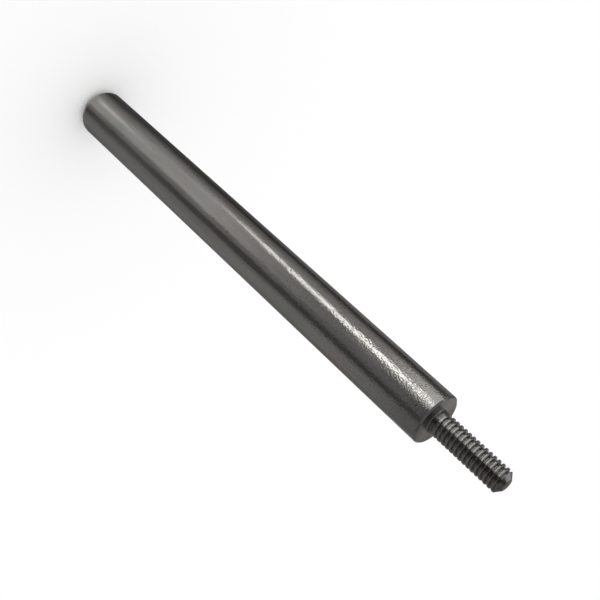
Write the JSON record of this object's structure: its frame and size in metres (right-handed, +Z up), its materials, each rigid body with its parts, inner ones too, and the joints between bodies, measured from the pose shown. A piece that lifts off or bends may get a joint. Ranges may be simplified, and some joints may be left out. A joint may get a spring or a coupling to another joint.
{
  "type": "turned pin with threaded stud",
  "caption": "Plain round steel pin, rounded at its free end, with a flat shoulder and a smaller threaded stud with a coned tip at the other end.",
  "frame": {"origin": "centre of the flat of the plain end, on the surface that the pin stands on", "axes": "+Z up the turning axis, from the plain end to the tip of the stud; X and Y are free, because the part is round"},
  "size_m": [0.0138, 0.0138, 0.1635],
  "materials": {
    "turned_steel": "satin, fine ground lines along and around, small pits"
  },
  "bodies": {
    "root": {"turned_pin": "turned_steel"}
  },
  "joints": []
}
